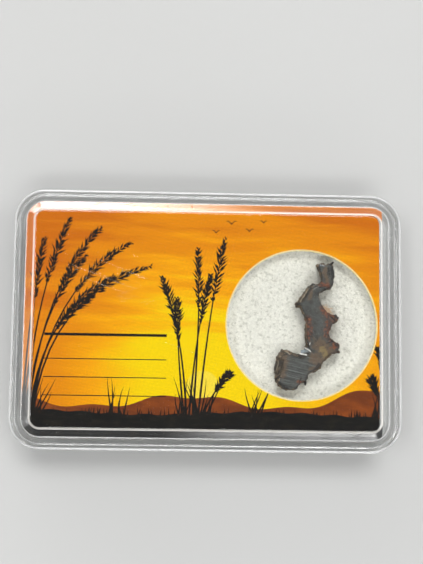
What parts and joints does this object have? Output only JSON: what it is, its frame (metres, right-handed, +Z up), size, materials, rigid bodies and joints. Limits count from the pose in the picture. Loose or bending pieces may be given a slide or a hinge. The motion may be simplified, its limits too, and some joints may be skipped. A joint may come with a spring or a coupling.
{
  "type": "boxed meteorite slice",
  "caption": "Small, irregular slice of stony-iron meteorite on a foam bed behind a printed card with a round window, shut in a flat clear box whose lid has a raised panel.",
  "frame": {"origin": "middle of the box's underside", "axes": "+X along the box's long side, +Y towards the top of the printed card, +Z up through the lid"},
  "size_m": [0.06, 0.04, 0.008],
  "materials": {
    "clear_plastic": "polished, with fine scratches",
    "white_foam": "granular foam",
    "printed_card": "glossy print",
    "meteorite": "sawn, with rust and saw marks"
  },
  "bodies": {
    "root": {"base": "clear_plastic", "lid": "clear_plastic", "foam_insert": "white_foam", "printed_card": "printed_card", "meteorite_slice": "meteorite"}
  },
  "joints": []
}
